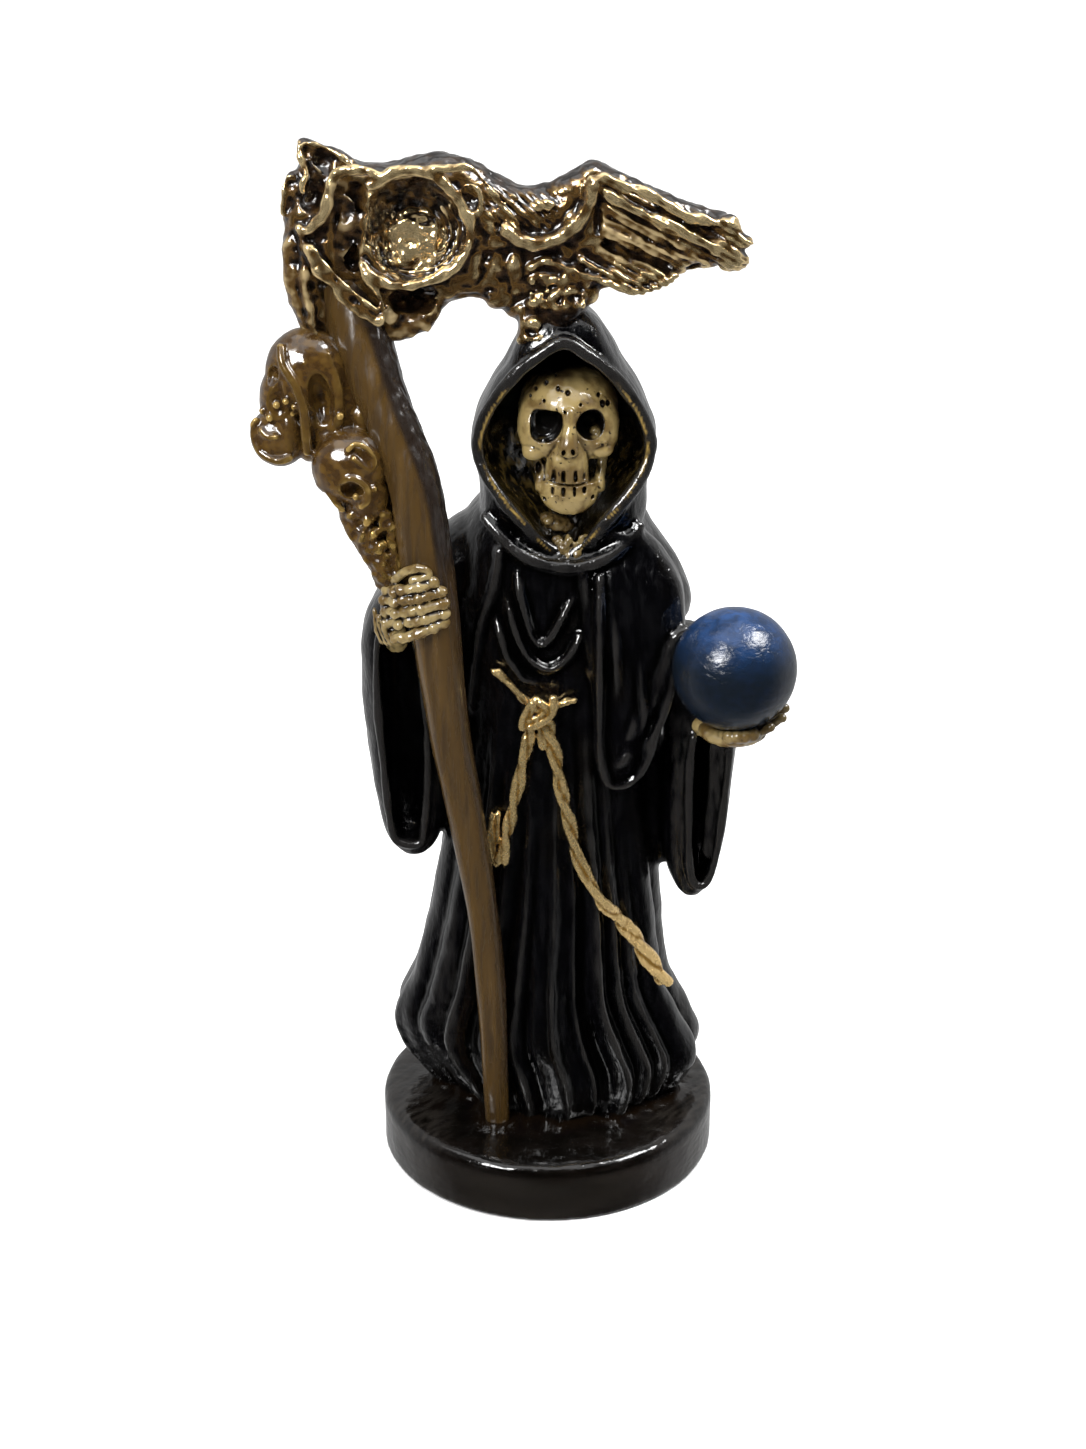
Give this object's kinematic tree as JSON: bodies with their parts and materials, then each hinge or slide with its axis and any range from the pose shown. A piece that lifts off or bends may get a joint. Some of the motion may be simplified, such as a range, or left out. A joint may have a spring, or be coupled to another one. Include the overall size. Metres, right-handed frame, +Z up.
{
  "type": "santa muerte figure",
  "caption": "Cast skeleton figure in a black hooded robe, holding a bone-like scythe and a loose blue ball, on a round plinth.",
  "frame": {"origin": "centre of the plinth's flat underside", "axes": "+Z up through the figure, +X towards the figure's hand that holds the ball (the viewer's right), -Y towards the viewer, where the figure faces"},
  "size_m": [0.1069, 0.072, 0.2173],
  "materials": {
    "black_lacquer": "glossy hand-brushed lacquer over cast resin",
    "blue_glass": "polished, marbled blue"
  },
  "bodies": {
    "root": {"cast_figure": "black_lacquer", "globe": "blue_glass"}
  },
  "joints": []
}
